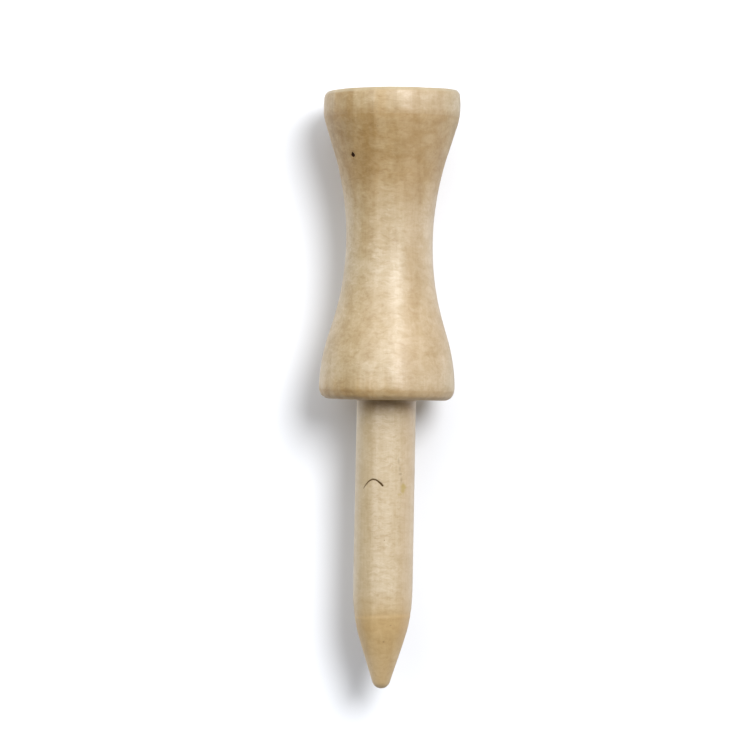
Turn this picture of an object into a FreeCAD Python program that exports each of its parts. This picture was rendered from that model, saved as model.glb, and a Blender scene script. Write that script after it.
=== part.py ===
import FreeCAD, Part
import math
import os
import Sketcher

# A step-down ("castle") golf tee, turned in one piece from a round hardwood dowel.
#
# Frame: millimetres, +Z up, the way the tee stands in the ground. The origin is on the
# turning axis in the plane of the flat shoulder, which is the face that stops on the turf.
# Everything above z = 0 stands proud of the ground and everything below it is the peg.
#
# The features follow the lathe: a length of dowel, the waist formed with a shaped knife,
# the peg turned down and pointed, the cup bored in the end grain, and the sharp edges eased.

DIMENSIONS = [
    # alias, value, what it is
    ("rim_diameter", 12.7, "outside of the rim band: the dowel as bought, half an inch"),
    ("playing_height", 28.6, "shoulder to the top of the rim"),
    ("peg_length", 26.8, "shoulder to the tip of the point"),
    ("rim_band_height", 2.35, "rim top down to the ridge where the flare starts"),
    ("neck_diameter", 8.05, "narrowest part of the waist"),
    ("neck_height", 14.75, "shoulder to the narrowest part of the waist"),
    ("waist_radius", 26.8, "hollow radius of the waist, seen from the side"),
    ("collar_diameter", 12.65, "widest part of the collar, just above the shoulder"),
    ("belly_radius", 18.0, "convex radius that runs the waist out into the collar"),
    ("shank_diameter", 5.5, "parallel part of the peg"),
    ("shank_length", 17.8, "shoulder to where the point starts to curve in"),
    ("ogive_radius", 15.0, "rounded run from the parallel shank into the point"),
    ("tip_radius", 0.85, "blunt end of the point"),
    ("cup_mouth_diameter", 10.6, "cup measured across the rim's top"),
    ("cup_radius", 9.0, "spherical radius of the cup"),
    ("rim_edge_radius", 0.4, "outer edge of the rim's top, eased by tumbling"),
    ("cup_lip_radius", 0.25, "inner edge of the rim's top"),
    ("ridge_radius", 1.6, "ridge between the rim band and the flare"),
    ("collar_edge_radius", 1.0, "rolled edge where the collar meets the flat shoulder"),
    ("tool_clearance", 1.5, "how far each cut runs past the stock"),
]

START, END, CENTRE = 1, 2, 3  # point positions on a sketch curve
X_AXIS, Y_AXIS = -1, -2  # the sketch's own axes
ORIGIN = (X_AXIS, START)
UP = FreeCAD.Vector(0, 0, 1)

doc = FreeCAD.newDocument("golf_tee")
sheet = doc.addObject("Spreadsheet::Sheet", "Dimensions")
for column, heading in zip("ABC", ("dimension", "value in millimetres", "note")):
    sheet.set(column + "1", heading)
for row, (alias, value, note) in enumerate(DIMENSIONS, start=2):
    sheet.set("A%d" % row, alias)
    sheet.set("B%d" % row, "%g" % value)
    sheet.set("C%d" % row, note)
    sheet.setAlias("B%d" % row, alias)
doc.recompute()

body = doc.addObject("PartDesign::Body", "TurnedTee")
body.Label = "turned_tee"


def size(alias):
    """The value of a named cell, for starting positions and checks."""
    return float(sheet.get(alias))


# Places that several sections share, measured from the turning axis and the shoulder
height = size("playing_height")
length = size("peg_length")
clearance = size("tool_clearance")
rim = size("rim_diameter") / 2
outside = rim + clearance
ridge_z = height - size("rim_band_height")
shank = size("shank_diameter") / 2
mouth = size("cup_mouth_diameter") / 2


# ---- sketch helpers ------------------------------------------------------------
def new_sketch(name, role):
    """A sketch on the body's origin plane of this role."""
    plane = next(f for f in body.Origin.OriginFeatures if f.Role == role)
    sketch = body.newObject("Sketcher::SketchObject", name)
    sketch.AttachmentSupport = [(plane, "")]
    sketch.MapMode = "FlatFace"
    return sketch


def add_line(sketch, start, end):
    return sketch.addGeometry(
        Part.LineSegment(FreeCAD.Vector(*start, 0), FreeCAD.Vector(*end, 0))
    )


def add_arc(sketch, centre, radius, start_degrees, end_degrees):
    """Anticlockwise arc."""
    circle = Part.Circle(FreeCAD.Vector(*centre, 0), UP, radius)
    return sketch.addGeometry(
        Part.ArcOfCircle(circle, math.radians(start_degrees), math.radians(end_degrees))
    )


def constrain(sketch, *constraints):
    for constraint in constraints:
        sketch.addConstraint(Sketcher.Constraint(*constraint))


def join(sketch, *curves):
    """Make each curve's end meet the next one's start."""
    for before, after in zip(curves, curves[1:]):
        constrain(sketch, ("Coincident", before, END, after, START))


def drive(sketch, name, formula, *constraint):
    """Add a dimension, name it and bind it to the sheet."""
    index = sketch.addConstraint(Sketcher.Constraint(*constraint))
    sketch.renameConstraint(index, name)
    sketch.setExpression("Constraints." + name, formula)


def drive_radii(sketch, *radii):
    """Bind the radius of each (name, curve, alias) to its cell."""
    for name, curve, alias in radii:
        drive(sketch, name, "Dimensions." + alias, "Radius", curve, size(alias))


def drive_outside(sketch, wall):
    """Hold the profile's outer wall clear of the stock."""
    drive(sketch, "outside", "Dimensions.rim_diameter / 2 + Dimensions.tool_clearance",
          "DistanceX", *ORIGIN, wall, START, outside)


def groove(name, sketch, before):
    """Turn the sketch's area away about its vertical axis, which is the tee's axis."""
    doc.recompute()
    cut = body.newObject("PartDesign::Groove", name)
    cut.Profile = sketch
    cut.ReferenceAxis = (sketch, ["V_Axis"])
    cut.Angle = 360.0
    sketch.Visibility = False
    doc.recompute()
    if cut.Shape.Volume >= before.Shape.Volume:
        raise RuntimeError(name + " removed nothing")
    return cut


# The profiles are drawn in X and Z. Where a coordinate or an angle doesn't come from the
# sheet, it is only a start close to the answer: the constraints settle it.


# ---- 1. the dowel --------------------------------------------------------------
def make_dowel():
    sketch = new_sketch("DowelSection", "XY_Plane")
    sketch.setExpression("AttachmentOffset.Base.z", "-Dimensions.peg_length")
    circle = sketch.addGeometry(Part.Circle(FreeCAD.Vector(0, 0, 0), UP, rim))
    constrain(sketch, ("Coincident", circle, CENTRE, *ORIGIN))
    drive(sketch, "dowel", "Dimensions.rim_diameter",
          "Diameter", circle, size("rim_diameter"))
    pad = body.newObject("PartDesign::Pad", "Dowel")
    pad.Profile = sketch
    pad.setExpression("Length", "Dimensions.playing_height + Dimensions.peg_length")
    sketch.Visibility = False
    doc.recompute()
    return pad, sketch


# ---- 2. the waist, from the ridge under the rim band down to the collar --------
def cut_waist(before):
    neck_x = size("neck_diameter") / 2 + size("waist_radius")
    neck_z = size("neck_height")
    belly_x = size("collar_diameter") / 2 - size("belly_radius")
    roll = size("collar_edge_radius")
    roll_x = size("collar_diameter") / 2 - roll
    # Starting positions
    flare_top = (outside, ridge_z + 5.1)
    flare_foot = (5.12, 22.1)
    belly_z = 0.6

    sketch = new_sketch("WaistProfile", "XZ_Plane")
    flare = add_line(sketch, flare_top, flare_foot)
    hollow = add_arc(sketch, (neck_x, neck_z), size("waist_radius"), 163.5, 197.5)
    belly = add_arc(sketch, (belly_x, belly_z), size("belly_radius"), 0.8, 18.4)
    edge = add_arc(sketch, (roll_x, roll), roll, 270, 1.2)
    under = add_line(sketch, (roll_x, 0), (outside, 0))
    wall = add_line(sketch, (outside, 0), flare_top)
    # Construction point where the flare crosses the dowel's surface
    ridge = sketch.addGeometry(Part.Point(FreeCAD.Vector(rim, ridge_z, 0)), True)

    constrain(
        sketch,
        ("Tangent", flare, END, hollow, START),
        ("Tangent", hollow, END, belly, END),
        ("Tangent", belly, START, edge, END),
        ("Tangent", edge, START, under, START),
    )
    join(sketch, under, wall, flare)
    constrain(
        sketch,
        ("Horizontal", under),
        ("Vertical", wall),
        ("PointOnObject", ridge, START, flare),
        ("PointOnObject", under, START, X_AXIS),
    )
    drive(sketch, "rim", "Dimensions.rim_diameter / 2",
          "DistanceX", *ORIGIN, ridge, START, rim)
    drive(sketch, "ridge", "Dimensions.playing_height - Dimensions.rim_band_height",
          "DistanceY", *ORIGIN, ridge, START, ridge_z)
    drive_radii(sketch, ("hollow", hollow, "waist_radius"))
    drive(sketch, "neck", "Dimensions.neck_diameter / 2 + Dimensions.waist_radius",
          "DistanceX", *ORIGIN, hollow, CENTRE, neck_x)
    drive(sketch, "neck_z", "Dimensions.neck_height",
          "DistanceY", *ORIGIN, hollow, CENTRE, neck_z)
    drive_radii(sketch, ("belly", belly, "belly_radius"))
    drive(sketch, "collar", "Dimensions.belly_radius - Dimensions.collar_diameter / 2",
          "DistanceX", belly, CENTRE, *ORIGIN, -belly_x)
    drive_radii(sketch, ("edge", edge, "collar_edge_radius"))
    drive_outside(sketch, wall)
    return groove("Waist", sketch, before), sketch


# ---- 3. the peg: parallel shank, ogive, straight point, blunt tip --------------
def cut_peg(before):
    shank_end = -size("shank_length")
    ogive_radius = size("ogive_radius")
    tip_radius = size("tip_radius")
    bottom = -length - clearance
    # Starting positions
    cone_top = (2.04, -22.47)
    cone_foot = (0.81, -26.31)
    cone_angle = 342.25  # direction square to the cone, where both arcs meet it

    sketch = new_sketch("PegProfile", "XZ_Plane")
    side = add_line(sketch, (shank, 0), (shank, shank_end))
    ogive = add_arc(sketch, (shank - ogive_radius, shank_end), ogive_radius, cone_angle, 360)
    cone = add_line(sketch, cone_top, cone_foot)
    tip = add_arc(sketch, (0, tip_radius - length), tip_radius, 270, cone_angle)
    below = add_line(sketch, (0, -length), (0, bottom))
    floor = add_line(sketch, (0, bottom), (outside, bottom))
    wall = add_line(sketch, (outside, bottom), (outside, 0))
    shoulder = add_line(sketch, (outside, 0), (shank, 0))

    constrain(
        sketch,
        ("Tangent", side, END, ogive, END),
        ("Tangent", ogive, START, cone, START),
        ("Tangent", cone, END, tip, END),
        ("Coincident", tip, START, below, START),
    )
    join(sketch, below, floor, wall, shoulder, side)
    constrain(
        sketch,
        ("Vertical", side),
        ("Vertical", below),
        ("Horizontal", floor),
        ("Vertical", wall),
        ("Horizontal", shoulder),
        ("PointOnObject", side, START, X_AXIS),
        ("PointOnObject", tip, CENTRE, Y_AXIS),
        ("PointOnObject", tip, START, Y_AXIS),
    )
    drive(sketch, "shank", "Dimensions.shank_diameter / 2",
          "DistanceX", *ORIGIN, side, START, shank)
    drive(sketch, "parallel", "Dimensions.shank_length",
          "DistanceY", side, END, *ORIGIN, -shank_end)
    drive_radii(sketch, ("ogive", ogive, "ogive_radius"), ("blunt", tip, "tip_radius"))
    drive(sketch, "tip", "Dimensions.peg_length",
          "DistanceY", tip, START, *ORIGIN, length)
    drive(sketch, "run_out", "Dimensions.peg_length + Dimensions.tool_clearance",
          "DistanceY", below, END, *ORIGIN, -bottom)
    drive_outside(sketch, wall)
    return groove("Peg", sketch, before), sketch


# ---- 4. the cup: a shallow spherical bowl bored in the end grain ---------------
def cut_cup(before):
    radius = size("cup_radius")
    centre_z = height + math.sqrt(radius**2 - mouth**2)
    top = height + clearance

    sketch = new_sketch("CupProfile", "XZ_Plane")
    bowl = add_arc(sketch, (0, centre_z), radius, 270, 306)
    rise = add_line(sketch, (mouth, height), (mouth, top))
    lid = add_line(sketch, (mouth, top), (0, top))
    axis = add_line(sketch, (0, top), (0, centre_z - radius))

    join(sketch, bowl, rise, lid, axis, bowl)
    constrain(
        sketch,
        ("Vertical", rise),
        ("Horizontal", lid),
        ("PointOnObject", bowl, CENTRE, Y_AXIS),
        ("PointOnObject", bowl, START, Y_AXIS),
        ("PointOnObject", lid, END, Y_AXIS),
    )
    drive_radii(sketch, ("bowl", bowl, "cup_radius"))
    drive(sketch, "mouth", "Dimensions.cup_mouth_diameter / 2",
          "DistanceX", *ORIGIN, rise, START, mouth)
    drive(sketch, "rim_top", "Dimensions.playing_height",
          "DistanceY", *ORIGIN, rise, START, height)
    drive(sketch, "run_out", "Dimensions.playing_height + Dimensions.tool_clearance",
          "DistanceY", *ORIGIN, lid, START, top)
    return groove("Cup", sketch, before), sketch


# ---- 5. eased edges ------------------------------------------------------------
def circle_edge(shape, radius, level):
    """The name of the full-circle edge of this radius at this height."""
    found = []
    for number, edge in enumerate(shape.Edges, start=1):
        # The points where the tip and the cup's floor meet the axis are edges of no length.
        if edge.Degenerated or not isinstance(edge.Curve, Part.Circle):
            continue
        curve = edge.Curve
        if abs(curve.Radius - radius) < 1e-3 and abs(curve.Center.z - level) < 1e-3:
            found.append("Edge%d" % number)
    if len(found) != 1:
        raise RuntimeError(
            "expected one edge of radius %g at z %g, found %s" % (radius, level, found)
        )
    return found[0]


def ease(base, name, radius_alias, edge_radius, level):
    fillet = body.newObject("PartDesign::Fillet", name)
    fillet.Base = (base, [circle_edge(base.Shape, edge_radius, level)])
    fillet.setExpression("Radius", "Dimensions." + radius_alias)
    doc.recompute()
    return fillet


# ---- build ---------------------------------------------------------------------
feature, dowel_sketch = make_dowel()
sketches = [dowel_sketch]
for cut_section in (cut_waist, cut_peg, cut_cup):
    feature, profile = cut_section(feature)
    sketches.append(profile)

for eased_edge in (
    # name, fillet radius, radius and height of the circular edge
    ("RimEdge", "rim_edge_radius", rim, height),
    ("CupLip", "cup_lip_radius", mouth, height),
    ("Ridge", "ridge_radius", rim, ridge_z),
):
    feature = ease(feature, *eased_edge)
doc.recompute()

# ---- checks before anything is written -----------------------------------------
for thing in doc.Objects:
    if "Invalid" in thing.State or "Error" in thing.State:
        raise RuntimeError("%s did not compute: %s" % (thing.Name, thing.State))
for sketch in sketches:
    if not sketch.FullyConstrained:
        raise RuntimeError(sketch.Name + " is not fully constrained")

tee = body.Shape
if tee.isNull() or not tee.isValid() or len(tee.Solids) != 1:
    raise RuntimeError(body.Label + " is not one valid solid")
box = tee.optimalBoundingBox(False, False)
if abs(box.ZMax - height) > 0.01 or abs(box.ZMin + length) > 0.01:
    raise RuntimeError("the tee's length is wrong: %g to %g" % (box.ZMin, box.ZMax))
if abs(box.XLength - size("rim_diameter")) > 0.01:
    raise RuntimeError("the tee's rim is wrong: %g" % box.XLength)
# The parallel shank, as a plain cylinder, has to lie wholly inside the wood.
shank_length = size("shank_length")
core = Part.makeCylinder(shank, shank_length, FreeCAD.Vector(0, 0, -shank_length), UP)
if core.cut(tee).Volume > 1e-3:
    raise RuntimeError("the shank is cut away")

os.makedirs("parts", exist_ok=True)
tee.exportStep(os.path.join("parts", body.Label + ".step"))
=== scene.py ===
# A turned wooden tee. Its turning axis is Z: the cup and its banded rim are at the top, the
# collar's shoulder is at z = 0 and the peg runs down to a point. The front faces -Y. The tee
# lies on a pale floor seen from straight above, so the floor is the upright plane at its back.
import math
from itertools import product

import bpy
import numpy as np
from mathutils import Matrix, Vector


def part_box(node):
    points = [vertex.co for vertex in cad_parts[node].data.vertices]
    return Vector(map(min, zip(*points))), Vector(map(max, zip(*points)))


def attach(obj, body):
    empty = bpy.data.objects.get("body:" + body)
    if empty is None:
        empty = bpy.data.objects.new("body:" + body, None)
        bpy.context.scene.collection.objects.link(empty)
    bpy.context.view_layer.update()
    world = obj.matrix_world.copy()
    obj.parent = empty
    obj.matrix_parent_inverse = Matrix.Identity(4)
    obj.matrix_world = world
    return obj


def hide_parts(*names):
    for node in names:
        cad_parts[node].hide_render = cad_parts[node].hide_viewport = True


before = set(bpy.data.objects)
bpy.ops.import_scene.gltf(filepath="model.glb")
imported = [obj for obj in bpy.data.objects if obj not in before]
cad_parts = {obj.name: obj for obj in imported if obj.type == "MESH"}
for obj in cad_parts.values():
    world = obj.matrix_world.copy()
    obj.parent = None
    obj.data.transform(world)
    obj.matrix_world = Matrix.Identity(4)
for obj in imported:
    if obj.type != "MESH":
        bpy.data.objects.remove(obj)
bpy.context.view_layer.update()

MM = 0.001           # the tee is worked out in millimetres and built in metres

# ---------------------------------------------------------------------------
# Driving dimensions, in millimetres: r is the distance from the axis, z the height above the
# shoulder
# ---------------------------------------------------------------------------
low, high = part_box("turned_tee")
RIM = (high.x - low.x) / 2 / MM      # radius of the band
TOP = high.z / MM
TIP = low.z / MM
RIDGE_Z = TOP - 2.35                 # the ridge under the band
RIM_EDGE, LIP, RIDGE = 0.4, 0.25, 1.6    # radii of the rim's outer and inner edges and the ridge
MOUTH, BOWL = 5.3, 9.0               # radius of the cup's mouth and of its hollow
NECK, NECK_Z, WAIST = 4.025, 14.75, 26.8     # neck radius and height, radius of its hollow arc
COLLAR, BELLY, ROLL = 6.325, 18.0, 1.0   # collar radius, its bulging arc and its lower edge
ROOT = 0.12                          # corner between peg and shoulder
SHANK, SHANK_END = 2.75, -17.8       # peg radius and where its parallel part ends
OGIVE, BLUNT = 15.0, 0.85            # radius of the point's curved side and of its tip
DOWEL = 6.35                         # nominal radius of the dowel
QUARTER = math.pi / 2


# ---------------------------------------------------------------------------
# Outline, from the middle of the cup over the rim and down to the tip
# ---------------------------------------------------------------------------
SAMPLE = 0.004       # distance between the outline's points


def angle_from(centre, point):
    return math.atan2(point[1] - centre[1], point[0] - centre[0])


def polar(centre, radius, angle):
    return (centre[0] + radius * math.cos(angle), centre[1] + radius * math.sin(angle))


def arc(centre, radius, first, last, step, concave=False):
    """Rows of r, z, outward normal r, outward normal z and the mesh row spacing wanted."""
    count = max(8, int(abs(last - first) * radius / SAMPLE))
    angles = np.linspace(first, last, count)
    away = np.column_stack([np.cos(angles), np.sin(angles)])
    normals = -away if concave else away
    return np.column_stack([np.array(centre) + radius * away, normals, np.full(count, step)])


def straight(start, end, step):
    """The same columns for a straight piece; outward is to the left of its direction."""
    length = math.dist(start, end)
    count = max(8, int(length / SAMPLE))
    change = np.array(end) - start
    points = start + change * np.linspace(0, 1, count)[:, None]
    normals = np.tile((-change[1] / length, change[0] / length), (count, 1))
    return np.column_stack([points, normals, np.full(count, step)])


# waist: a line from the ridge, tangent to the hollow, which is tangent to the belly
hollow = (NECK + WAIST, NECK_Z)
ridge = (RIM, RIDGE_Z)
reach = math.dist(hollow, ridge)
aim = angle_from(ridge, hollow)
swing = math.asin(WAIST / reach)
flare_length = math.sqrt(reach**2 - WAIST**2)
flare_end = min(polar(ridge, flare_length, aim + side) for side in (swing, -swing))
belly_r = COLLAR - BELLY
belly = (belly_r, NECK_Z - math.sqrt((WAIST + BELLY) ** 2 - (hollow[0] - belly_r) ** 2))
belly_top = angle_from(belly, hollow)
roll = (belly_r + math.sqrt((BELLY - ROLL) ** 2 - (ROLL - belly[1]) ** 2), ROLL)
belly_low = angle_from(belly, roll)
# the ridge's arc is tangent to the upright band and to the flare
lean = math.atan2(ridge[0] - flare_end[0], ridge[1] - flare_end[1])
ridge_arc = (RIM - RIDGE, RIDGE_Z + RIDGE * math.tan(lean / 2))
# point: ogive, straight cone and blunt tip, all tangent
ogive = (SHANK - OGIVE, SHANK_END)
blunt = (0.0, TIP + BLUNT)
cone = angle_from(ogive, blunt) + math.acos((OGIVE - BLUNT) / math.dist(ogive, blunt))
# cup
cup_floor = TOP - BOWL + math.sqrt(BOWL**2 - MOUTH**2)
bowl = (0.0, cup_floor + BOWL)
lip = (math.sqrt((BOWL + LIP) ** 2 - (bowl[1] - (TOP - LIP)) ** 2), TOP - LIP)
bowl_end = -QUARTER + math.asin(lip[0] / (BOWL + LIP))

outline = np.vstack([
    arc(bowl, BOWL, -QUARTER, bowl_end, step=0.22, concave=True),
    arc(lip, LIP, angle_from(lip, bowl), QUARTER, step=0.045),
    straight((lip[0], TOP), (RIM - RIM_EDGE, TOP), step=0.11),
    arc((RIM - RIM_EDGE, TOP - RIM_EDGE), RIM_EDGE, QUARTER, 0.0, step=0.055),
    straight((RIM, TOP - RIM_EDGE), (RIM, ridge_arc[1]), step=0.13),
    arc(ridge_arc, RIDGE, 0.0, -lean, step=0.05),
    straight(polar(ridge_arc, RIDGE, -lean), flare_end, step=0.25),
    arc(hollow, WAIST, angle_from(hollow, flare_end), math.pi + belly_top, step=0.27,
        concave=True),
    arc(belly, BELLY, belly_top, belly_low, step=0.25),
    arc(roll, ROLL, belly_low, -QUARTER, step=0.055),
    straight((roll[0], 0.0), (SHANK + ROOT, 0.0), step=0.2),
    arc((SHANK + ROOT, -ROOT), ROOT, QUARTER, math.pi, step=0.03, concave=True),
    straight((SHANK, -ROOT), (SHANK, SHANK_END), step=0.28),
    arc(ogive, OGIVE, 0.0, cone, step=0.2),
    straight(polar(ogive, OGIVE, cone), polar(blunt, BLUNT, cone), step=0.17),
    arc(blunt, BLUNT, cone, -QUARTER, step=0.06),
])
spacing = outline[:, 4]
outline = outline[:, :4]


def rise(value, start, end):
    """0 at start, 1 at end, with a smooth step between."""
    share = np.clip((value - start) / (end - start), 0, 1)
    return share * share * (3 - 2 * share)


def bump_at(offset, spread):
    """A bell: 1 where offset is 0, falling away over spread."""
    return np.exp(-((offset / spread) ** 2))


# the belly eases into the collar's rolled edge without a line: average over a bell there
BELL_REACH, BELL_SPREAD = 260, 0.30      # in samples, in millimetres
bell = np.arange(-BELL_REACH, BELL_REACH + 1) * SAMPLE / BELL_SPREAD
bell = np.exp(-(bell**2) / 2)
bell /= bell.sum()
eased = np.column_stack([
    np.convolve(np.pad(column, BELL_REACH, mode="edge"), bell, mode="valid")
    for column in outline.T
])
outline_r, outline_z = outline[:, 0], outline[:, 1]
share = np.clip((outline_z - 0.25) / 0.35, 0, 1) * np.clip((2.6 - outline_z) / 0.6, 0, 1)
share = (share * share * (3 - 2 * share) * (outline_r > 5.0))[:, None]
outline = outline * (1 - share) + eased * share
outline[:, 2:] /= np.hypot(outline[:, 2], outline[:, 3])[:, None]
outline_r, outline_z = outline[:, 0], outline[:, 1]

CAD_TOLERANCE = 0.15
for vertex in list(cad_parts["turned_tee"].data.vertices)[::7]:
    x, y, z = vertex.co / MM
    if np.hypot(outline_r - math.hypot(x, y), outline_z - z).min() > CAD_TOLERANCE:
        raise RuntimeError("the outline has drifted from the CAD node")

# ---------------------------------------------------------------------------
# Mesh grid: rows by length along the outline, columns round the axis
# ---------------------------------------------------------------------------
# closer rows at the pin knot, the nick and the start of the point: from z, to z, spacing
CLOSE_ROWS = ((22.05, 22.95, 0.042), (-8.40, -7.1, 0.034), (-20.8, -19.2, 0.055))
for start, end, step in CLOSE_ROWS:
    spacing = np.where((outline_z > start) & (outline_z < end), step, spacing)

BLEND = 30           # samples either side over which the spacing is averaged
lengths = np.hypot(*np.diff(outline[:, :2], axis=0).T)
length_at = np.concatenate([[0.0], np.cumsum(lengths)])
window = np.ones(2 * BLEND + 1) / (2 * BLEND + 1)
rate = 1.0 / np.convolve(np.pad(spacing, BLEND, mode="edge"), window, mode="valid")
count_at = np.concatenate([[0.0], np.cumsum(lengths * (rate[1:] + rate[:-1]) / 2)])
row_count = int(round(count_at[-1]))
row_along = np.interp(
    np.arange(1, row_count) * count_at[-1] / row_count, count_at, length_at
)
row_values = [np.interp(row_along, length_at, column) for column in outline.T]

# Bearing 0 faces -Y and bearing 90 faces +X. Columns are closer together over the front left,
# where the nick and the knot are.
COLUMNS = 236
CLOSE_FROM, CLOSE_TO, CLOSE_SOFT, CLOSE_EXTRA = -50.0, 1.0, 1.6, 3.9
fine = np.linspace(-180.0, 180.0, 7201)
density = 1.0 + CLOSE_EXTRA / (
    (1 + np.exp(-(fine - CLOSE_FROM) / CLOSE_SOFT)) * (1 + np.exp((fine - CLOSE_TO) / CLOSE_SOFT))
)
total = np.concatenate([[0.0], np.cumsum((density[1:] + density[:-1]) / 2 * np.diff(fine))])
column_bearing = np.interp(np.arange(COLUMNS) * total[-1] / COLUMNS, total, fine)

bearing, radius, z, normal_r, normal_z, along = np.broadcast_arrays(
    column_bearing, *(row[:, None] for row in (*row_values, row_along))
)
norm = np.hypot(normal_r, normal_z)
normal_r = normal_r / norm
normal_z = normal_z / norm
turn = np.radians(bearing)
sine, cosine = np.sin(turn), np.cos(turn)
x = radius * sine
y = -radius * cosine

# ---------------------------------------------------------------------------
# Small relief, in millimetres along the surface normal
# ---------------------------------------------------------------------------
LATTICE = 64
lattice = np.random.RandomState(20).rand(LATTICE, LATTICE, LATTICE)


def noise3(*place):
    """Smooth value noise from a fixed lattice, -1 to 1."""
    cells = [np.floor(value).astype(int) for value in place]
    shares = [value - cell for value, cell in zip(place, cells)]
    shares = [part**3 * (part * (part * 6 - 15) + 10) for part in shares]
    total = 0.0
    for corner in product((0, 1), repeat=3):
        level = lattice[tuple((cell + i) % LATTICE for cell, i in zip(cells, corner))]
        for part, i in zip(shares, corner):
            level = level * (part if i else 1 - part)
        total = total + level
    return total * 2 - 1


def body_noise(wide, tall, shift):
    return noise3(x / wide + shift[0], y / wide + shift[1], z / tall + shift[2])


def round_noise(spread, shift):
    return noise3(sine * spread + shift[0], cosine * spread + shift[1], shift[2])


relief = np.zeros(radius.shape)
near_axis = rise(radius, 0.3, 2.0)
# tool marks, fading in and out round the work: pitch, height, spread round the axis, shifts
for pitch, height, spread, shift_y, shift_z in (
    (0.31, 0.0035, 0.5, 3.0, 0.0), (0.95, 0.006, 0.4, 9.0, 0.0), (4.1, 0.010, 0.0, 17.0, 5.0),
):
    marks = noise3(along / pitch, shift_y + sine * spread, shift_z + cosine * spread)
    relief += near_axis * height * marks
# the dowel dries slightly out of round, and more so the thicker it is
OVAL, THREE_SIDED = 0.022, 0.010
relief += radius / DOWEL * OVAL * np.cos(2 * (turn + 0.6))
relief += radius / DOWEL * THREE_SIDED * np.cos(3 * turn + 1.1 + along / 30)
# soft and hard grain leave faint flats and ripples
relief += near_axis * 0.006 * body_noise(wide=0.9, tall=6.0, shift=(11, 23, 31))
relief += near_axis * 0.004 * body_noise(wide=0.35, tall=0.5, shift=(1, 2, 3))

# tumbling leaves the sharp edges uneven: z, spread, share, and the radii it fades in over
EDGES = (
    (TOP - 0.15, 0.35, 1.0, 5.7, 6.1),
    (0.1, 0.35, 0.8, 5.3, 5.9),
    (RIDGE_Z, 0.3, 0.6, 5.9, 6.3),
)
edge = sum(
    amount * bump_at(z - edge_z, spread) * rise(radius, start, end)
    for edge_z, spread, amount, start, end in EDGES
)
EDGE_WEAR, EDGE_UNEVEN = 0.012, 0.016
relief += edge * (EDGE_UNEVEN * body_noise(wide=1.1, tall=1.1, shift=(41, 7, 5)) - EDGE_WEAR)

# the band is very slightly barrelled, and its upper edge is worn over a taller curve
BARREL, TOP_WEAR = 0.045, 0.050
on_band = rise(normal_r, 0.1, 0.8) * rise(radius, 5.2, 5.8)
on_band = on_band * rise(z, RIDGE_Z - 0.6, RIDGE_Z + 0.1)
relief -= on_band * BARREL * np.clip((z - (RIDGE_Z + 1.0)) / 1.05, -1.25, 1.25) ** 2
band_top = np.clip((z - (TOP - 1.2)) / 0.8, 0, 1)
band_top = band_top * rise(radius, 5.3, 5.9) * rise(normal_r, 0.0, 0.6)
relief -= TOP_WEAR * band_top**2 * (0.8 + 0.5 * round_noise(spread=1.3, shift=(2, 6, 1)))

# dents: bearing, z, width, depth
DENTS = (
    (31, TOP - 0.10, 0.40, 0.018), (-71, TOP - 0.2, 0.42, 0.012), (118, TOP - 0.1, 0.6, 0.05),
    (163, TOP - 0.3, 0.4, 0.03), (-137, TOP - 0.15, 0.5, 0.04), (63, 0.22, 0.45, 0.03),
    (-58, 0.3, 0.5, 0.035), (141, 0.2, 0.5, 0.045), (-118, 0.35, 0.4, 0.03),
    (8, 0.2, 0.35, 0.02), (101, 11.2, 0.6, 0.025), (-150, 18.1, 0.5, 0.02),
    (170, -12.0, 0.45, 0.022), (80, -21.6, 0.35, 0.02),
)
for dent_bearing, dent_z, wide, deep in DENTS:
    away = np.radians(np.remainder(bearing - dent_bearing + 180, 360) - 180) * radius
    squares = (away / wide) ** 2 + ((z - dent_z) / (wide * 0.8)) ** 2
    relief -= deep * np.exp(-squares) * (radius > 1.0)

# the pointing knife starts below the parallel shank, at a slightly slanting and wavy crease:
# distance below the crease, spread, height of each hollow and burr
CREASE_Z, CREASE_SLANT, CREASE_WAVE = -19.87, 0.042, 0.04
KNIFE_MARKS = (
    (0.0, 0.26, -0.021), (0.31, 0.13, 0.011), (0.85, 0.30, -0.012), (2.6, 0.22, -0.006),
)
crease = CREASE_Z + CREASE_SLANT * x + CREASE_WAVE * round_noise(spread=1.5, shift=(4, 8, 2))
for drop, spread, height in KNIFE_MARKS:
    relief += (z < -15) * height * bump_at(z - crease + drop, spread)

# the nick: an arched cut in the peg, deepest near its right-hand end
NICK = np.array([
    # bearing, z, width, depth
    (-44.9, -8.20, 0.070, 0.022), (-41.5, -7.98, 0.092, 0.036), (-38.7, -7.82, 0.100, 0.042),
    (-33.1, -7.56, 0.112, 0.046), (-28.0, -7.41, 0.122, 0.050), (-24.0, -7.35, 0.130, 0.052),
    (-18.0, -7.39, 0.126, 0.052), (-12.8, -7.54, 0.136, 0.058), (-8.0, -7.73, 0.160, 0.074),
    (-4.6, -7.90, 0.165, 0.070),
])
stations = np.linspace(0, len(NICK) - 1, 120)
path = np.column_stack([np.interp(stations, np.arange(len(NICK)), column) for column in NICK.T])
near = (z > -8.6) & (z < -6.9)
away = np.hypot(
    turn[near][:, None] * SHANK - np.radians(path[:, 0]) * SHANK,
    z[near][:, None] - path[:, 1],
)
nearest = away.min(axis=1)
_, path_z, width, depth = path[away.argmin(axis=1)].T
cut = bump_at(nearest, 0.55 * width)
nick = np.zeros(radius.shape)
nick[near] = rise(cut, 0.08, 0.62) * np.clip(0.62 + depth * 6, 0, 1)
lifted = bump_at(nearest - 0.10, 0.05) * rise(path_z - z[near], -0.02, 0.05)
relief[near] += -depth * cut + 0.010 * lifted

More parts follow.
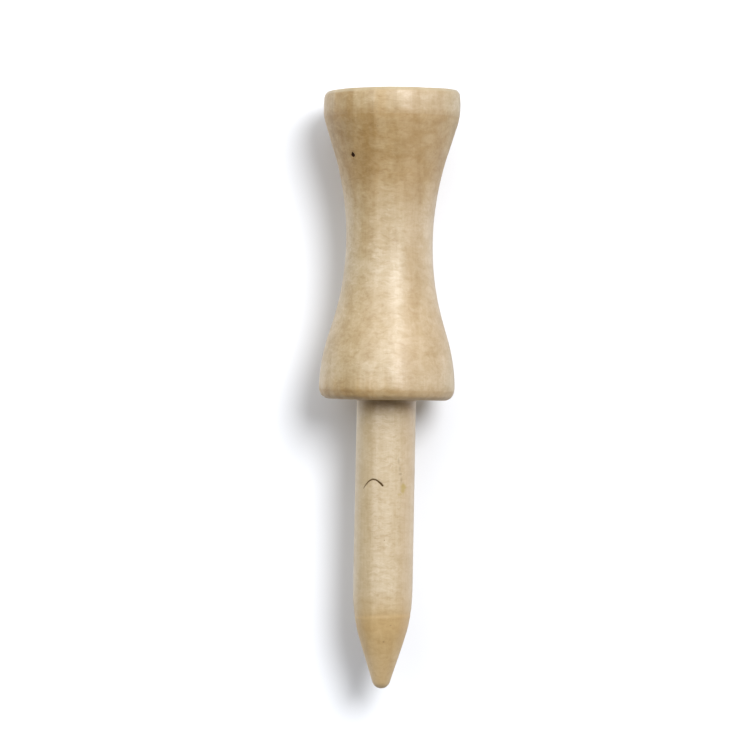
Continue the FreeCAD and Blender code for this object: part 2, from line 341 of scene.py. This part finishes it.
# the pin knot: a tiny dead twig, end on, that has shrunk below the surface; round below its
# widest level and drawn to a peak above
KNOT_BEARING, KNOT_Z = -42.6, 22.47
KNOT_HALF, KNOT_WIDEST, KNOT_BELOW, KNOT_ABOVE = 0.235, 0.02, 0.22, 0.27
KNOT_SUNK, HALO, HALO_SPREAD, HALO_RAISED = 0.055, 0.30, 0.11, 0.007
knot_across = (bearing - KNOT_BEARING) * math.pi / 180 * radius
knot_up = z - KNOT_Z
over = knot_up - KNOT_WIDEST
half_width = KNOT_HALF * np.where(
    over < 0,
    np.sqrt(np.clip(1 - (over / KNOT_BELOW) ** 2, 0, 1)),
    np.clip(1 - over / KNOT_ABOVE, 0, 1) ** 0.9,
)
inside = np.clip((half_width - np.abs(knot_across)) / 0.05, -1, 1)
inside = np.where((np.abs(knot_up) > 0.45) | (radius < 2), -1, inside)
knot = rise(inside, -0.55, 0.45)
relief -= KNOT_SUNK * rise(inside, -0.3, 1.0)
halo = bump_at(np.hypot(knot_across, knot_up * 0.85) - HALO, HALO_SPREAD) * (radius > 2)
relief += HALO_RAISED * halo

# the band and, further, the rim are slightly out of square, higher on the +X side
BAND_TILT, RIM_TILT, RIM_LIFT = 0.0165, 0.0135, 0.02
final_x = (radius + relief * normal_r) * sine
final_y = -(radius + relief * normal_r) * cosine
final_z = z + relief * normal_z + BAND_TILT * final_x * rise(z, 20.0, 29.0)
final_z = final_z + (RIM_LIFT + RIM_TILT * final_x) * rise(z, TOP - 1.9, TOP - 0.3)

# ---------------------------------------------------------------------------
# Tee mesh, closed at a pole in the cup and a pole at the tip
# ---------------------------------------------------------------------------
points = np.column_stack([final_x.ravel(), final_y.ravel(), final_z.ravel()])
points = np.vstack([points, [(0, 0, cup_floor)], [(0, 0, TIP)]]) * MM
index = np.arange(radius.size).reshape(radius.shape)
right = np.roll(index, -1, axis=1)
quads = np.stack([index[:-1], index[1:], right[1:], right[:-1]], axis=-1).reshape(-1, 4)
cup_pole, tip_pole = radius.size, radius.size + 1
faces = quads.tolist()
faces += [[cup_pole, int(i), int(j)] for i, j in zip(index[0], right[0])]
faces += [[tip_pole, int(j), int(i)] for i, j in zip(index[-1], right[-1])]
mesh = bpy.data.meshes.new("tee")
mesh.from_pydata(points.tolist(), [], faces)
mesh.polygons.foreach_set("use_smooth", np.ones(len(mesh.polygons), bool))
if mesh.validate():
    raise RuntimeError("the tee's mesh needed repair")
mesh.update()
tee = bpy.data.objects.new("tee", mesh)
bpy.context.scene.collection.objects.link(tee)

# ---------------------------------------------------------------------------
# Masks for the wood, kept as point attributes
# ---------------------------------------------------------------------------
# how far the knife cut across the fibres: none on the shank, all of it in the cup; painted shade
# on the lower collar is added in below
end_grain_and_shade = rise(np.abs(normal_z), 0.06, 0.25) * 0.62 + 0.38 * rise(np.abs(normal_z), 0.40, 0.95)
# the band is also darkened a little just above the ridge
above_ridge = rise(RIDGE_Z + 0.95 - z, 0, 0.95) * (radius > 5.9) * (z > RIDGE_Z - 0.3)
end_grain_and_shade = np.maximum(end_grain_and_shade, 0.34 * above_ridge)
# painted shade deepens softly down the collar to its rolled edge, where the surface turns down
# away from the light
collar_low = rise(1.5 - z, 0, 1.15) * (z > 0) * (radius > 5.0)
end_grain_and_shade = np.maximum(end_grain_and_shade * (1 - 0.28 * collar_low), 0.40 * collar_low)
# the flare was cut against the grain and the belly with it
uphill = 0.25 + 0.75 * rise(-z, -2.3, -0.9) - 0.22 * rise(-z, -0.7, -0.2)
uphill = np.where(z > NECK_Z, 1.0, uphill)
uphill = np.where(z < -1, 0.12, uphill)
# the rim's top edge is spared the darker end-grain tint and kept pale, a painted sheen
rim_top = rise(z, TOP - 0.9, TOP - 0.4)
uphill = uphill * (1 - 0.92 * rim_top * rise(radius, 5.32, 5.58))
end_grain_and_shade = end_grain_and_shade * uphill
# where the growth rings and the browner tint show most: flare, neck and collar
steep = np.maximum(end_grain_and_shade, 0.85 * rise(z, 24.5, 26.5))
steep = np.maximum(steep, 0.8 * rise(-z, -3.4, -0.8))
steep = np.maximum(steep, 0.4 * rise(z, 12.0, 15.0))
pointed = 0.38 * rise(-z, 17.3, 19.1) + 0.62 * rise(-z + 0.04 * x, 18.8, 20.5)

for name, values, cup_value, tip_value in (
    ("end_grain_and_shade", end_grain_and_shade, 1.0, 1.0),
    ("steep", np.where(z < -0.05, 0.0, steep), 1.0, 0.0),
    # the point's tint fades towards the tip, which is painted light standing in for light from
    # below
    ("pointed", pointed * (1 - 0.32 * rise(-z, 21.5, 26.2)), 0.0, 0.68),
    # painted sheen: a pale band along the rim's top edge
    ("painted_rim_sheen", rise(z, TOP - 0.42, TOP - 0.10) * rise(radius, 5.3, 5.5), 0.0, 0.0),
    # painted shade in the corner under the shoulder, where the collar shadows the top of the peg
    ("painted_root_shade", rise(z, -1.7, -0.2) * (radius < 3.6) * (z < 0.01), 0.0, 0.0),
    ("nick", nick, 0.0, 0.0),
    ("knot", knot, 0.0, 0.0),
    ("halo", np.clip(halo, 0, 1), 0.0, 0.0),
    ("edge", np.clip(edge, 0, 1) * (1 - 0.8 * rim_top), 0.0, 0.0),
):
    layer = mesh.attributes.new(name, "FLOAT", "POINT")
    values = np.concatenate([values.ravel(), [cup_value, tip_value]])
    layer.data.foreach_set("value", values.astype(np.float32))


# ---------------------------------------------------------------------------
# Node tree helper
# ---------------------------------------------------------------------------
class Graph:
    """Short names for building the node tree of a material or world."""

    def __init__(self, owner):
        owner.use_nodes = True
        self.tree = owner.node_tree
        self.tree.nodes.clear()

    def node(self, kind, inputs=None, **settings):
        made = self.tree.nodes.new(kind)
        for key, value in settings.items():
            setattr(made, key, value)
        for key, value in (inputs or {}).items():
            socket = made.inputs[key]
            if isinstance(value, bpy.types.NodeSocket):
                self.tree.links.new(value, socket)
            elif value is not None:
                socket.default_value = (*value, 1.0) if socket.type == "RGBA" else value
        return made

    def math(self, operation, *values, clamp=False):
        inputs = dict(enumerate(values))
        made = self.node("ShaderNodeMath", inputs, operation=operation, use_clamp=clamp)
        return made.outputs[0]

    def times(self, first, second, clamp=False):
        return self.math("MULTIPLY", first, second, clamp=clamp)

    def plus(self, first, second, clamp=False):
        return self.math("ADD", first, second, clamp=clamp)

    def minus(self, first, second):
        return self.math("SUBTRACT", first, second)

    def larger(self, first, second):
        return self.math("MAXIMUM", first, second)

    def vector(self, operation, first, second=None, third=None, scale=None):
        inputs = dict(enumerate((first, second, third, scale)))
        made = self.node("ShaderNodeVectorMath", inputs, operation=operation)
        single = operation in ("LENGTH", "DISTANCE", "DOT_PRODUCT")
        return made.outputs["Value" if single else "Vector"]

    def place(self):
        """Place on the object, in millimetres."""
        coordinates = self.node("ShaderNodeTexCoord")
        return self.vector("SCALE", coordinates.outputs["Object"], scale=1 / MM)

    def noise(self, place, scales, detail=2.0, rough=0.5, distortion=0.0, shift=(0, 0, 0),
              output="Fac"):
        made = self.node("ShaderNodeTexNoise", {
            "Vector": self.vector("MULTIPLY_ADD", place, scales, shift),
            "Scale": 1.0,
            "Detail": detail,
            "Roughness": rough,
            "Distortion": distortion,
        })
        return made.outputs[output]

    def wander(self, place, scales, shift, rough=0.5):
        """A vector noise about zero."""
        colour = self.noise(place, scales, rough=rough, shift=shift, output="Color")
        return self.vector("SUBTRACT", colour, (0.5, 0.5, 0.5))

    def ramp(self, value, span, to=(0.0, 1.0), smooth=True):
        made = self.node(
            "ShaderNodeMapRange", dict(enumerate((value, *span, *to))),
            interpolation_type="SMOOTHSTEP" if smooth else "LINEAR",
        )
        return made.outputs[0]

    def mix(self, colour, other, share, strength=None, blend="MIX"):
        if strength is not None:
            share = self.times(share, strength)
        made = self.node("ShaderNodeMix", {0: share, 6: colour, 7: other},
                         data_type="RGBA", blend_type=blend)
        return made.outputs[2]

    def tint(self, colour, share, by, strength=None):
        """Multiply the colour by a factor, as far as share says."""
        return self.mix(colour, by, share, strength, blend="MULTIPLY")

    def between(self, low, high, share):
        made = self.node("ShaderNodeMix", {0: share, 2: low, 3: high}, data_type="FLOAT")
        return made.outputs[0]

    def value(self, name):
        return self.node("ShaderNodeAttribute", attribute_name=name).outputs["Fac"]

    def finish(self, shader, kind="ShaderNodeOutputMaterial"):
        self.node(kind, {"Surface": shader.outputs[0]})


# ---------------------------------------------------------------------------
# Wood
# ---------------------------------------------------------------------------
def linear(*channels):
    """Linear colour from 0-255 sRGB channels."""
    shares = [channel / 255.0 for channel in channels]
    return tuple(c / 12.92 if c <= 0.04045 else ((c + 0.055) / 1.055) ** 2.4 for c in shares)


CREAM = linear(201, 184, 156)
OLIVE = linear(190, 172, 139)
TAN = linear(200, 180, 151)
PALE = linear(219, 205, 182)
STAIN = linear(174, 152, 84)
PAINTED_RIM_SHEEN = linear(182, 170, 142)
SPECK = linear(112, 84, 48)
KNOT_DARK = linear(44, 23, 7)
NICK_DARK = linear(78, 56, 24)

PITH_AWAY = 58.0                 # the pith lies this far off towards -X
PITH = (-PITH_AWAY, 4.0, 0.0)
RING_WIDTH, RING_START = 2.02, 0.34

# resin stain: bearing, z, width, height, softness; the last is a fainter run
STAIN_SPOTS = ((39.5, -8.00, 0.50, 0.40, 0.75), (38.5, -8.38, 0.36, 0.46, 0.80))
STAIN_RUN, RUN_STRENGTH = (30.0, -8.72, 0.34, 0.20, 0.9), 0.55
# small marks: bearing, z, radius, width, height, strength; the first four trail up from the stain
SPECK_SOFT = 0.75
SPECKS = (
    (31.0, -6.82, SHANK, 0.24, 0.18, 0.34), (29.5, -6.35, SHANK, 0.17, 0.36, 0.26),
    (26.4, -5.60, SHANK, 0.16, 0.40, 0.24), (33.5, -7.35, SHANK, 0.20, 0.30, 0.28),
    (-12.5, 25.04, 5.93, 0.13, 0.11, 0.50), (52.4, 1.68, 6.20, 0.11, 0.13, 0.55),
    (-12.6, 0.22, 6.05, 0.12, 0.09, 0.75), (1.0, -12.94, SHANK, 0.085, 0.085, 0.60),
    (4.6, -22.34, 2.05, 0.11, 0.11, 0.50), (18.5, -20.8, 2.42, 0.12, 0.09, 0.45),
    (-30.0, 9.0, 4.6, 0.08, 0.10, 0.45), (74.0, 19.6, 4.5, 0.10, 0.12, 0.5),
    (141.0, 5.5, 5.6, 0.12, 0.15, 0.55), (-120.0, -4.5, SHANK, 0.10, 0.14, 0.5),
    (-160.0, 24.3, 5.72, 0.12, 0.12, 0.55), (170.0, -15.0, SHANK, 0.09, 0.12, 0.5),
)


def sheets(graph, place):
    """Colour of the growth rings, with the shares of cream and tan wood. The rings are nearly
    flat sheets, because the tree was far wider than the dowel."""
    drift = graph.wander(place, scales=(0.16, 0.16, 0.03), shift=(3.1, 7.7, 1.3))
    drift = graph.vector("MULTIPLY", drift, (1.1, 1.1, 0.0))
    flutter = graph.wander(place, scales=(0.6, 0.6, 0.22), shift=(7.4, 2.6, 5.2), rough=0.55)
    flutter = graph.vector("MULTIPLY", flutter, (0.45, 0.45, 0.0))
    bent = graph.vector("ADD", graph.vector("ADD", place, drift), flutter)
    flat = graph.vector("MULTIPLY", bent, (1, 1, 0))
    pith = graph.vector("DISTANCE", flat, PITH)
    part = graph.math("FRACT", graph.minus(graph.math("DIVIDE", pith, RING_WIDTH), RING_START))
    late = graph.times(graph.ramp(part, span=(0.52, 0.95)),
                       graph.ramp(part, span=(0.95, 1.0), to=(1.0, 0.0)))
    early = graph.times(graph.ramp(part, span=(0.0, 0.08)),
                        graph.ramp(part, span=(0.10, 0.55), to=(1.0, 0.0)))
    patchy = graph.noise(place, scales=(0.5, 0.5, 0.10), shift=(11, 4, 2))
    late = graph.times(late, graph.ramp(patchy, span=(0.34, 0.66), to=(0.15, 1.0)))

    # broad colour runs from olive through cream to a warm tan, and back
    waver = graph.noise(place, scales=(0.30, 0.30, 0.045), shift=(5, 1, 9))
    waver = graph.times(graph.minus(waver, 0.5), 3.0)
    sheet = graph.plus(graph.minus(pith, PITH_AWAY), waver)
    creamy = graph.times(graph.ramp(sheet, span=(-2.0, -0.4)),
                         graph.ramp(sheet, span=(1.0, 2.6), to=(1.0, 0.0)))
    creamy = graph.larger(creamy, graph.ramp(sheet, span=(-4.6, -6.2)))
    tan = graph.times(graph.ramp(sheet, span=(1.0, 2.4)),
                      graph.ramp(sheet, span=(5.0, 6.4), to=(1.0, 0.0)))
    colour = graph.mix(OLIVE, CREAM, creamy)
    colour = graph.mix(colour, TAN, tan)
    late = graph.times(late, graph.between(low=0.16, high=0.66, share=graph.value("steep")))
    colour = graph.tint(colour, late, by=(0.82, 0.76, 0.66))
    return graph.mix(colour, PALE, early, strength=0.12), creamy, tan


def fibres(graph, place, colour):
    """Long fibres, fine and coarse, and the faint dashes of cut vessels."""
    fall = (1.0, 0.0)
    fibre = graph.noise(place, scales=(13, 13, 0.42), detail=3.0, rough=0.6, shift=(2, 2, 2))
    fine_share = graph.ramp(fibre, span=(0.34, 0.66), to=fall)
    colour = graph.tint(colour, fine_share, by=(0.978, 0.972, 0.960))
    strand = graph.noise(place, scales=(4.2, 4.2, 0.16), rough=0.55, shift=(8, 3, 1))
    coarse_share = graph.ramp(strand, span=(0.36, 0.64), to=fall)
    colour = graph.tint(colour, coarse_share, by=(0.965, 0.953, 0.930))
    vessel = graph.noise(place, scales=(19, 19, 0.8), detail=1.0, shift=(1, 5, 6))
    vessel = graph.ramp(vessel, span=(0.66, 0.74))
    return graph.tint(colour, vessel, by=(0.72, 0.64, 0.52), strength=0.22), fibre, vessel


def figured(graph, place, colour, creamy, tan, pointed):
    """Rays, curl and mottle. Rays are ribbons running out from the pith, seen side on as short
    level flecks."""
    wavy = graph.wander(place, scales=(1.3, 1.3, 0.5), shift=(2, 9, 4))
    level = graph.vector("ADD", place, graph.vector("MULTIPLY", wavy, (0.0, 0.0, 0.5)))
    ray = graph.noise(level, scales=(0.85, 8.0, 3.4), rough=0.55, distortion=0.3,
                      shift=(4, 4, 4))
    curl = graph.noise(level, scales=(1.25, 1.6, 3.5), distortion=0.8, shift=(12, 5, 8))
    # the thick head shows its figure more than the slim shank
    head = graph.ramp(graph.vector("DOT_PRODUCT", place, (0, 0, 1)), span=(-1.0, 1.0))
    figure = graph.between(low=0.62, high=1.0, share=head)
    in_tan = graph.times(head, graph.between(low=0.85, high=0.55, share=tan))
    lively = graph.larger(graph.between(low=0.35, high=0.92, share=creamy), in_tan)
    lively = graph.times(lively, graph.between(low=1.0, high=0.5, share=pointed))

    def lit(value, span, by=lively):
        return graph.times(graph.ramp(value, span=span), by)

    colour = graph.mix(colour, PALE, lit(ray, span=(0.52, 0.66)), strength=0.12)
    colour = graph.tint(colour, lit(ray, span=(0.45, 0.34)), by=(0.94, 0.91, 0.865))
    colour = graph.tint(colour, lit(curl, span=(0.46, 0.34)), by=(0.905, 0.87, 0.82))
    colour = graph.mix(colour, PALE, lit(curl, span=(0.56, 0.68)), strength=0.27)
    # mottle: figure in the wood, and finish that took unevenly
    mottle = graph.noise(place, scales=(0.75, 0.75, 1.05), detail=3.0, rough=0.6,
                         distortion=0.4, shift=(9, 9, 2))
    colour = graph.tint(colour, lit(mottle, span=(0.36, 0.66), by=figure),
                        by=(0.90, 0.865, 0.79))
    cloud = graph.noise(place, scales=(0.42, 0.42, 0.30), rough=0.55, distortion=0.5,
                        shift=(33, 19, 6))
    colour = graph.tint(colour, lit(cloud, span=(0.42, 0.66), by=figure),
                        by=(0.925, 0.905, 0.865))
    return colour, ray, curl, mottle


def finished(graph, place, colour, mottle, end_grain_and_shade, pointed, edge):
    """Darkening by the finish, painted shade on the lower collar and under the shoulder, a
    painted sheen on the rim's top edge, a point tint painted lighter towards the tip, and the
    handled edges.
    """
    # where the knife cut across the fibres the wood is thirstier, so darker and yellower; on the
    # lower collar this tint is painted shade
    uneven = graph.ramp(mottle, span=(0.30, 0.70), to=(0.90, 1.08))
    thirst_and_shade = graph.times(end_grain_and_shade, uneven, clamp=True)
    colour = graph.tint(colour, thirst_and_shade, by=(0.757, 0.602, 0.318))
    # browner and yellower streaks down the left side of the head
    streak = graph.noise(place, scales=(1.2, 1.2, 0.10), shift=(17, 3, 7))
    left = graph.ramp(graph.vector("DOT_PRODUCT", place, (1, 0.25, 0)), span=(1.0, -3.6))
    streak = graph.ramp(streak, span=(0.36, 0.66), to=(0.45, 1.0))
    brown = graph.times(graph.times(graph.value("steep"), streak), left)
    colour = graph.tint(colour, brown, by=(0.85, 0.715, 0.475))
    colour = graph.tint(colour, pointed, by=(0.945, 0.822, 0.585))
    # painted shade: the root of the peg under the shoulder is darkened and warmed
    colour = graph.tint(colour, graph.value("painted_root_shade"), by=(0.97, 0.84, 0.64), strength=0.55)
    # painted sheen: the rim's top edge is mixed towards a pale grey-cream
    colour = graph.mix(colour, PAINTED_RIM_SHEEN, graph.value("painted_rim_sheen"), strength=0.55)
    return graph.tint(colour, edge, by=(0.88, 0.80, 0.64), strength=0.30)


def spot(graph, source, bearing, z, radius, wide, tall, soft):
    """A soft-edged spot on the surface."""
    angle = math.radians(bearing)
    centre = (radius * math.sin(angle), -radius * math.cos(angle), z)
    away = graph.vector("SUBTRACT", source, centre)
    away = graph.vector("MULTIPLY", away, (1 / wide, 1 / wide, 1 / tall))
    return graph.ramp(graph.vector("LENGTH", away), span=(1.0, 1.0 - soft))


def marked(graph, place, colour):
    """A yellow resin stain on the shank, and small marks."""
    wobble = graph.wander(place, scales=(2.6, 2.6, 2.6), shift=(6, 2, 8))
    shaken = graph.vector("ADD", place, graph.vector("SCALE", wobble, scale=0.45))
    upper, lower, run = (
        spot(graph, shaken, bearing, z, SHANK, wide, tall, soft)
        for bearing, z, wide, tall, soft in (*STAIN_SPOTS, STAIN_RUN)
    )
    stain = graph.larger(graph.larger(upper, lower), graph.times(run, RUN_STRENGTH))
    colour = graph.mix(colour, STAIN, stain, strength=0.72)
    for *shape, strength in SPECKS:
        mark = spot(graph, place, *shape, SPECK_SOFT)
        colour = graph.mix(colour, SPECK, mark, strength=strength)
    return colour


def wood():
    material = bpy.data.materials.new("turned_wood")
    graph = Graph(material)
    place = graph.place()
    end_grain_and_shade, pointed, nick, knot, halo, edge = (
        graph.value(name) for name in ("end_grain_and_shade", "pointed", "nick", "knot", "halo", "edge")
    )
    colour, creamy, tan = sheets(graph, place)
    colour, fibre, vessel = fibres(graph, place, colour)
    colour, ray, curl, mottle = figured(graph, place, colour, creamy, tan, pointed)
    colour = finished(graph, place, colour, mottle, end_grain_and_shade, pointed, edge)
    colour = marked(graph, place, colour)
    # the knot has a thin brown halo; the knot and nick are dark
    colour = graph.tint(colour, halo, by=(0.72, 0.58, 0.40), strength=0.30)
    colour = graph.mix(colour, KNOT_DARK, knot)
    colour = graph.mix(colour, NICK_DARK, nick)

    # roughness: thin lacquer, duller across the grain, on the point and in the knot and nick
    sheen = graph.ramp(mottle, span=(0.3, 0.7), to=(0.34, 0.43), smooth=False)
    for share, amount in ((end_grain_and_shade, 0.22), (graph.minus(fibre, 0.5), 0.10), (pointed, 0.10)):
        sheen = graph.plus(sheen, graph.times(share, amount))
    sheen = graph.plus(sheen, graph.times(graph.larger(knot, nick), 0.35), clamp=True)

    # fine relief: level ripples, raised grain and open vessels, with heights in millimetres
    ripple = graph.noise(place, scales=(1.1, 2.2, 3.1), rough=0.55, distortion=0.3,
                         shift=(14, 6, 3))
    height = graph.times(graph.minus(ripple, 0.5), 0.0160 * MM)
    for source, amount in ((curl, 0.0100), (ray, 0.0060), (fibre, 0.0030)):
        height = graph.plus(height, graph.times(graph.minus(source, 0.5), amount * MM))
    height = graph.minus(height, graph.times(vessel, 0.0030 * MM))
    bump = graph.node("ShaderNodeBump", {"Strength": 1.0, "Distance": 1.0, "Height": height})

    # there is no lacquer left in the knot or the nick to shine
    bare = graph.minus(1.0, graph.larger(knot, nick))
    graph.finish(graph.node("ShaderNodeBsdfPrincipled", {
        "Specular IOR Level": graph.between(low=0.15, high=0.5, share=bare),
        "Base Color": colour,
        "Roughness": sheen,
        "IOR": 1.5,
        "Coat Weight": graph.times(bare, 0.16),
        "Coat Roughness": 0.30,
        "Normal": bump.outputs["Normal"],
    }))
    return material


mesh.materials.append(wood())
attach(tee, "root")
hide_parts("turned_tee")

# ---------------------------------------------------------------------------
# Floor: the upright plane just behind the tee
# ---------------------------------------------------------------------------
FLOOR_Y = RIM * MM + 0.00003
FLOOR_HALF = 0.6


def floor_material():
    """White, but only there when looked down on: from beside or beneath it gives way to the
    plain background, so that no side of the tee is hidden."""
    material = bpy.data.materials.new("pale_floor")
    graph = Graph(material)
    geometry = graph.node("ShaderNodeNewGeometry").outputs
    grain = graph.noise(graph.place(), scales=(0.05, 0.05, 0.05))
    tone = graph.mix((0.738, 0.757, 0.795), (0.746, 0.763, 0.800), grain)
    white = graph.node("ShaderNodeBsdfDiffuse", {"Color": tone})
    clear = graph.node("ShaderNodeBsdfTransparent")
    facing = graph.vector("DOT_PRODUCT", geometry["Incoming"], geometry["Normal"])
    from_above = graph.minus(1.0, geometry["Backfacing"])
    shown = graph.times(graph.ramp(facing, span=(0.14, 0.30)), from_above)
    graph.finish(graph.node("ShaderNodeMixShader", {
        0: shown, 1: clear.outputs[0], 2: white.outputs[0],
    }))
    return material


floor_mesh = bpy.data.meshes.new("floor")
corners = [
    (side * FLOOR_HALF, FLOOR_Y, up * FLOOR_HALF)
    for side, up in ((-1, -1), (1, -1), (1, 1), (-1, 1))
]
floor_mesh.from_pydata(corners, [], [(0, 1, 2, 3)])
floor_mesh.materials.append(floor_material())
floor = bpy.data.objects.new("floor", floor_mesh)
bpy.context.scene.collection.objects.link(floor)
for ray_kind in ("diffuse", "glossy", "transmission", "volume_scatter", "shadow"):
    setattr(floor, "visible_" + ray_kind, False)


# ---------------------------------------------------------------------------
# Light: soft glows in the room, and a soft box above and to the right of the camera
# ---------------------------------------------------------------------------
def towards(bearing, height):
    """Direction from a bearing and a height in degrees."""
    around, up = math.radians(bearing), math.radians(height)
    return Vector((
        math.sin(around) * math.cos(up), -math.cos(around) * math.cos(up), math.sin(up)
    ))


ROOM_BASE = 0.04
# glows: bearing, height, tightness, strength
ROOM = (
    # upper right, round the soft box
    (18, 43, 22, 2.65), (40, 29, 22, 1.55), (12, 20, 22, 0.55), (20, 78, 12, 0.8),
    # upper left fill
    (-26, 15, 22, 1.7), (-40, 26, 22, 2.1), (-14, 40, 22, 1.3),
    # both sides
    (-92, 36, 12, 0.44), (-92, -36, 12, 0.34), (92, -36, 12, 0.32), (80, 10, 12, 0.10),
    # the floor's bounce, from behind
    (110, -30, 7, 0.55), (-110, -30, 7, 0.50),
    (125, 0, 7, 1.15), (-125, 0, 7, 1.15), (-144, 45, 7, 1.15), (144, 45, 7, 0.45),
    (180, 0, 6, 0.5), (180, -62, 5, 0.65),
)


def studio():
    """A room of glows that lights the tee; the camera itself sees plain white."""
    world = bpy.data.worlds.new("studio")
    bpy.context.scene.world = world
    graph = Graph(world)
    direction = graph.node("ShaderNodeTexCoord").outputs["Generated"]
    strength = ROOM_BASE
    for bearing, height, tight, amount in ROOM:
        near = graph.vector("DOT_PRODUCT", direction, towards(bearing, height))
        glow = graph.math("EXPONENT", graph.times(graph.minus(near, 1.0), tight))
        strength = graph.math("MULTIPLY_ADD", glow, amount, strength)
    room, plain = (
        graph.node("ShaderNodeBackground", {"Color": (1.0, 1.0, 1.0), "Strength": level})
        for level in (strength, 1.0)
    )
    seen = graph.node("ShaderNodeMixShader", {
        0: graph.node("ShaderNodeLightPath").outputs["Is Camera Ray"],
        1: room.outputs[0],
        2: plain.outputs[0],
    })
    graph.finish(seen, "ShaderNodeOutputWorld")


BOX_DIRECTION = towards(bearing=20, height=20)
BOX_DISTANCE, BOX_SIZE = 0.60, 0.27      # metres


def soft_box(name, watts):
    data = bpy.data.lights.new(name, "AREA")
    data.shape = "DISK"
    data.size = BOX_SIZE
    data.energy = watts
    lamp = bpy.data.objects.new(name, data)
    bpy.context.scene.collection.objects.link(lamp)
    lamp.location = Vector((0, 0, (TOP + TIP) / 2 * MM)) + BOX_DIRECTION * BOX_DISTANCE
    lamp.rotation_mode = "QUATERNION"
    lamp.rotation_quaternion = (-BOX_DIRECTION).to_track_quat("-Z", "Y")
    lamp.visible_camera = False
    return lamp


studio()
soft_box("key", watts=2.12)
# the floor alone gets more of the same light, so that it washes out to plain white
wash = soft_box("floor_wash", watts=1.3)
lit_by_wash = bpy.data.collections.new("lit_by_wash")
lit_by_wash.objects.link(floor)
wash.light_linking.receiver_collection = lit_by_wash

# ---------------------------------------------------------------------------
# Camera: square on to the tee's front, near the level of its middle, rolled so that the tee's
# top leans to the right in the frame
# ---------------------------------------------------------------------------
CAMERA_PLACE = (-1.104 * MM, -0.362, 2.27 * MM)
LEAN = math.radians(1.094)
camera_data = bpy.data.cameras.new("camera")
camera_data.sensor_width = 36.0
camera_data.lens = 187.2
camera_data.clip_start = 0.01
camera_data.clip_end = 20.0
camera = bpy.data.objects.new("camera", camera_data)
bpy.context.scene.collection.objects.link(camera)
right_axis = (math.cos(LEAN), 0, math.sin(LEAN))
up_axis = (-math.sin(LEAN), 0, math.cos(LEAN))
back_axis = (0, -1, 0)
placed = Matrix((right_axis, up_axis, back_axis)).transposed().to_4x4()
placed.translation = CAMERA_PLACE
camera.matrix_world = placed
bpy.context.scene.camera = camera

bpy.context.scene.view_settings.view_transform = "Standard"
bpy.context.scene.view_settings.look = "None"
